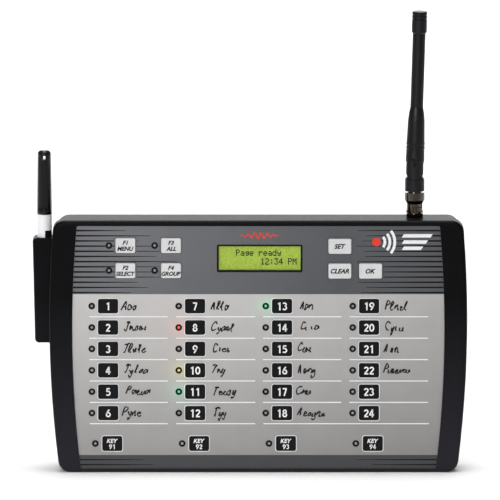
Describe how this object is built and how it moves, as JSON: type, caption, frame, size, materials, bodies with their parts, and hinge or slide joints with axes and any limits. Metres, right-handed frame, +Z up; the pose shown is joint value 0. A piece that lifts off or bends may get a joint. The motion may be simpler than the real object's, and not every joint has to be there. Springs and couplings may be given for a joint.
{
  "type": "restaurant paging transmitter console",
  "caption": "Desk or wall paging console with numbered keys, status lights, a text display, a tilting whip antenna and a marker pen in a side holder.",
  "frame": {"origin": "middle of the flat bottom face the console stands on, on its plane of symmetry and at half the case's depth", "axes": "+X to the viewer's right along the face, +Y from the face to the back, +Z up towards the antenna"},
  "size_m": [0.3174, 0.0368, 0.3379],
  "materials": {
    "case_plastic": "fine moulded texture, satin black",
    "printed_face": "printed polycarbonate sheet, fine velvet texture",
    "key_rubber": "matt",
    "circuit_board": "satin solder mask",
    "tinned_steel": "dull tin plate",
    "inlet_plastic": "satin black",
    "foot_rubber": "matt",
    "light_resin": "diffused resin",
    "clear_window": "clear polycarbonate",
    "display_glass": "yellow-green backlit liquid crystal",
    "nickel": "dark nickel plate",
    "antenna_plastic": "satin black moulding",
    "marker_barrel": "white gloss",
    "marker_nib": "felt soaked in black ink",
    "marker_cap": "gloss black",
    "steel": "zinc plate",
    "black_key": "satin black",
    "white_key": "satin off-white"
  },
  "bodies": {
    "console": {"front_shell": "case_plastic", "rear_shell": "case_plastic", "face_overlay": "printed_face", "display_window": "clear_window", "display_frame": "tinned_steel", "display_glass": "display_glass", "key_mat": "key_rubber", "main_board": "circuit_board", "radio_module": "tinned_steel", "status_leds": "light_resin", "antenna_jack": "nickel", "jack_nut": "nickel", "marker_holder": "case_plastic", "case_screws": "steel", "board_screws": "steel", "rubber_feet": "foot_rubber", "power_inlet": "inlet_plastic"},
    "antenna_plug": {"plug_body": "nickel", "knuckle_base": "antenna_plastic"},
    "antenna_ring": {"coupling_ring": "nickel"},
    "antenna_whip": {"antenna_whip": "antenna_plastic", "knuckle_pin": "nickel"},
    "marker": {"marker_barrel": "marker_barrel", "marker_nib": "marker_nib"},
    "marker_cap": {"marker_cap": "marker_cap"},
    "key_01": {"key_01": "black_key"},
    "key_02": {"key_02": "black_key"},
    "key_03": {"key_03": "black_key"},
    "key_04": {"key_04": "black_key"},
    "key_05": {"key_05": "black_key"},
    "key_06": {"key_06": "black_key"},
    "key_07": {"key_07": "black_key"},
    "key_08": {"key_08": "black_key"},
    "key_09": {"key_09": "black_key"},
    "key_10": {"key_10": "black_key"},
    "key_11": {"key_11": "black_key"},
    "key_12": {"key_12": "black_key"},
    "key_13": {"key_13": "black_key"},
    "key_14": {"key_14": "black_key"},
    "key_15": {"key_15": "black_key"},
    "key_16": {"key_16": "black_key"},
    "key_17": {"key_17": "black_key"},
    "key_18": {"key_18": "black_key"},
    "key_19": {"key_19": "black_key"},
    "key_20": {"key_20": "black_key"},
    "key_21": {"key_21": "black_key"},
    "key_22": {"key_22": "black_key"},
    "key_23": {"key_23": "black_key"},
    "key_24": {"key_24": "black_key"},
    "key_91": {"key_91": "black_key"},
    "key_92": {"key_92": "black_key"},
    "key_93": {"key_93": "black_key"},
    "key_94": {"key_94": "black_key"},
    "key_menu": {"key_menu": "white_key"},
    "key_select": {"key_select": "white_key"},
    "key_all_page": {"key_all_page": "white_key"},
    "key_all_managers": {"key_all_managers": "white_key"},
    "key_setup": {"key_setup": "white_key"},
    "key_cancel": {"key_cancel": "white_key"},
    "key_enter": {"key_enter": "white_key"}
  },
  "joints": [
    {"name": "antenna_swivel", "type": "hinge", "parent": "console", "child": "antenna_plug", "pos_m": [0.1142, 0.004, 0.1862], "axis": [0, 0, 1], "continuous": true},
    {"name": "antenna_tilt", "type": "hinge", "parent": "antenna_plug", "child": "antenna_whip", "pos_m": [0.1142, 0.004, 0.2208], "axis": [0, 1, 0], "range_deg": [-92, 88]},
    {"name": "ring_turn", "type": "hinge", "parent": "console", "child": "antenna_ring", "pos_m": [0.1142, 0.004, 0.1862], "axis": [0, 0, 1], "range_deg": [0, 90]},
    {"name": "marker_lift", "type": "slide", "parent": "console", "child": "marker", "axis": [0, 0, 1], "range_m": [0, 0.085]},
    {"name": "marker_uncap", "type": "slide", "parent": "marker", "child": "marker_cap", "axis": [0, 0, 1], "range_m": [0, 0.032]},
    {"name": "key_01_press", "type": "slide", "parent": "console", "child": "key_01", "axis": [0, 1, 0], "range_m": [0, 0.0008], "stiffness_N_per_m": 500, "springref_m": -0.0004},
    {"name": "key_02_press", "type": "slide", "parent": "console", "child": "key_02", "axis": [0, 1, 0], "range_m": [0, 0.0008], "stiffness_N_per_m": 500, "springref_m": -0.0004},
    {"name": "key_03_press", "type": "slide", "parent": "console", "child": "key_03", "axis": [0, 1, 0], "range_m": [0, 0.0008], "stiffness_N_per_m": 500, "springref_m": -0.0004},
    {"name": "key_04_press", "type": "slide", "parent": "console", "child": "key_04", "axis": [0, 1, 0], "range_m": [0, 0.0008], "stiffness_N_per_m": 500, "springref_m": -0.0004},
    {"name": "key_05_press", "type": "slide", "parent": "console", "child": "key_05", "axis": [0, 1, 0], "range_m": [0, 0.0008], "stiffness_N_per_m": 500, "springref_m": -0.0004},
    {"name": "key_06_press", "type": "slide", "parent": "console", "child": "key_06", "axis": [0, 1, 0], "range_m": [0, 0.0008], "stiffness_N_per_m": 500, "springref_m": -0.0004},
    {"name": "key_07_press", "type": "slide", "parent": "console", "child": "key_07", "axis": [0, 1, 0], "range_m": [0, 0.0008], "stiffness_N_per_m": 500, "springref_m": -0.0004},
    {"name": "key_08_press", "type": "slide", "parent": "console", "child": "key_08", "axis": [0, 1, 0], "range_m": [0, 0.0008], "stiffness_N_per_m": 500, "springref_m": -0.0004},
    {"name": "key_09_press", "type": "slide", "parent": "console", "child": "key_09", "axis": [0, 1, 0], "range_m": [0, 0.0008], "stiffness_N_per_m": 500, "springref_m": -0.0004},
    {"name": "key_10_press", "type": "slide", "parent": "console", "child": "key_10", "axis": [0, 1, 0], "range_m": [0, 0.0008], "stiffness_N_per_m": 500, "springref_m": -0.0004},
    {"name": "key_11_press", "type": "slide", "parent": "console", "child": "key_11", "axis": [0, 1, 0], "range_m": [0, 0.0008], "stiffness_N_per_m": 500, "springref_m": -0.0004},
    {"name": "key_12_press", "type": "slide", "parent": "console", "child": "key_12", "axis": [0, 1, 0], "range_m": [0, 0.0008], "stiffness_N_per_m": 500, "springref_m": -0.0004},
    {"name": "key_13_press", "type": "slide", "parent": "console", "child": "key_13", "axis": [0, 1, 0], "range_m": [0, 0.0008], "stiffness_N_per_m": 500, "springref_m": -0.0004},
    {"name": "key_14_press", "type": "slide", "parent": "console", "child": "key_14", "axis": [0, 1, 0], "range_m": [0, 0.0008], "stiffness_N_per_m": 500, "springref_m": -0.0004},
    {"name": "key_15_press", "type": "slide", "parent": "console", "child": "key_15", "axis": [0, 1, 0], "range_m": [0, 0.0008], "stiffness_N_per_m": 500, "springref_m": -0.0004},
    {"name": "key_16_press", "type": "slide", "parent": "console", "child": "key_16", "axis": [0, 1, 0], "range_m": [0, 0.0008], "stiffness_N_per_m": 500, "springref_m": -0.0004},
    {"name": "key_17_press", "type": "slide", "parent": "console", "child": "key_17", "axis": [0, 1, 0], "range_m": [0, 0.0008], "stiffness_N_per_m": 500, "springref_m": -0.0004},
    {"name": "key_18_press", "type": "slide", "parent": "console", "child": "key_18", "axis": [0, 1, 0], "range_m": [0, 0.0008], "stiffness_N_per_m": 500, "springref_m": -0.0004},
    {"name": "key_19_press", "type": "slide", "parent": "console", "child": "key_19", "axis": [0, 1, 0], "range_m": [0, 0.0008], "stiffness_N_per_m": 500, "springref_m": -0.0004},
    {"name": "key_20_press", "type": "slide", "parent": "console", "child": "key_20", "axis": [0, 1, 0], "range_m": [0, 0.0008], "stiffness_N_per_m": 500, "springref_m": -0.0004},
    {"name": "key_21_press", "type": "slide", "parent": "console", "child": "key_21", "axis": [0, 1, 0], "range_m": [0, 0.0008], "stiffness_N_per_m": 500, "springref_m": -0.0004},
    {"name": "key_22_press", "type": "slide", "parent": "console", "child": "key_22", "axis": [0, 1, 0], "range_m": [0, 0.0008], "stiffness_N_per_m": 500, "springref_m": -0.0004},
    {"name": "key_23_press", "type": "slide", "parent": "console", "child": "key_23", "axis": [0, 1, 0], "range_m": [0, 0.0008], "stiffness_N_per_m": 500, "springref_m": -0.0004},
    {"name": "key_24_press", "type": "slide", "parent": "console", "child": "key_24", "axis": [0, 1, 0], "range_m": [0, 0.0008], "stiffness_N_per_m": 500, "springref_m": -0.0004},
    {"name": "key_91_press", "type": "slide", "parent": "console", "child": "key_91", "axis": [0, 1, 0], "range_m": [0, 0.0008], "stiffness_N_per_m": 500, "springref_m": -0.0004},
    {"name": "key_92_press", "type": "slide", "parent": "console", "child": "key_92", "axis": [0, 1, 0], "range_m": [0, 0.0008], "stiffness_N_per_m": 500, "springref_m": -0.0004},
    {"name": "key_93_press", "type": "slide", "parent": "console", "child": "key_93", "axis": [0, 1, 0], "range_m": [0, 0.0008], "stiffness_N_per_m": 500, "springref_m": -0.0004},
    {"name": "key_94_press", "type": "slide", "parent": "console", "child": "key_94", "axis": [0, 1, 0], "range_m": [0, 0.0008], "stiffness_N_per_m": 500, "springref_m": -0.0004},
    {"name": "key_menu_press", "type": "slide", "parent": "console", "child": "key_menu", "axis": [0, 1, 0], "range_m": [0, 0.0008], "stiffness_N_per_m": 500, "springref_m": -0.0004},
    {"name": "key_select_press", "type": "slide", "parent": "console", "child": "key_select", "axis": [0, 1, 0], "range_m": [0, 0.0008], "stiffness_N_per_m": 500, "springref_m": -0.0004},
    {"name": "key_all_page_press", "type": "slide", "parent": "console", "child": "key_all_page", "axis": [0, 1, 0], "range_m": [0, 0.0008], "stiffness_N_per_m": 500, "springref_m": -0.0004},
    {"name": "key_all_managers_press", "type": "slide", "parent": "console", "child": "key_all_managers", "axis": [0, 1, 0], "range_m": [0, 0.0008], "stiffness_N_per_m": 500, "springref_m": -0.0004},
    {"name": "key_setup_press", "type": "slide", "parent": "console", "child": "key_setup", "axis": [0, 1, 0], "range_m": [0, 0.0008], "stiffness_N_per_m": 500, "springref_m": -0.0004},
    {"name": "key_cancel_press", "type": "slide", "parent": "console", "child": "key_cancel", "axis": [0, 1, 0], "range_m": [0, 0.0008], "stiffness_N_per_m": 500, "springref_m": -0.0004},
    {"name": "key_enter_press", "type": "slide", "parent": "console", "child": "key_enter", "axis": [0, 1, 0], "range_m": [0, 0.0008], "stiffness_N_per_m": 500, "springref_m": -0.0004}
  ]
}
